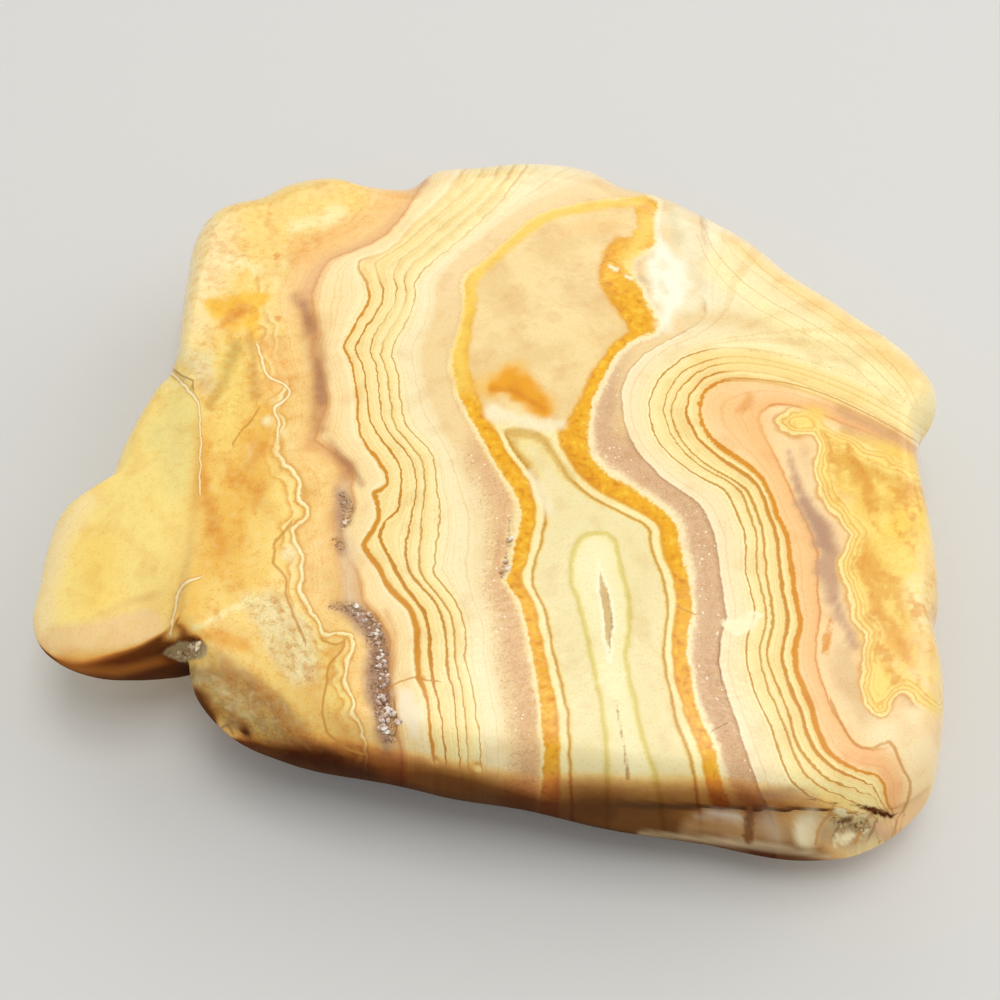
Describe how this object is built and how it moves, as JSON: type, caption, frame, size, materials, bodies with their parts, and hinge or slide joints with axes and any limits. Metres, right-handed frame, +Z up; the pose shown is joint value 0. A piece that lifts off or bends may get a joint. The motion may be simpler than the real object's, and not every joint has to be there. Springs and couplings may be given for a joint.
{
  "type": "fairburn agate",
  "caption": "Tumbled and polished fortification agate: a flat, rounded natural stone with a lobe, a bevel and a ledge, lying on a flat of its underside.",
  "frame": {"origin": "middle of the stone's bounding box in plan, on the surface that the stone lies on", "axes": "+X along the stone's length, from the lobe to the wide end; +Y from the ledge to the back edge; +Z up out of the polished face"},
  "size_m": [0.0668, 0.0608, 0.0147],
  "materials": {
    "agate_stone": "polished banded stone, opaque"
  },
  "bodies": {
    "root": {"agate_stone": "agate_stone"}
  },
  "joints": []
}
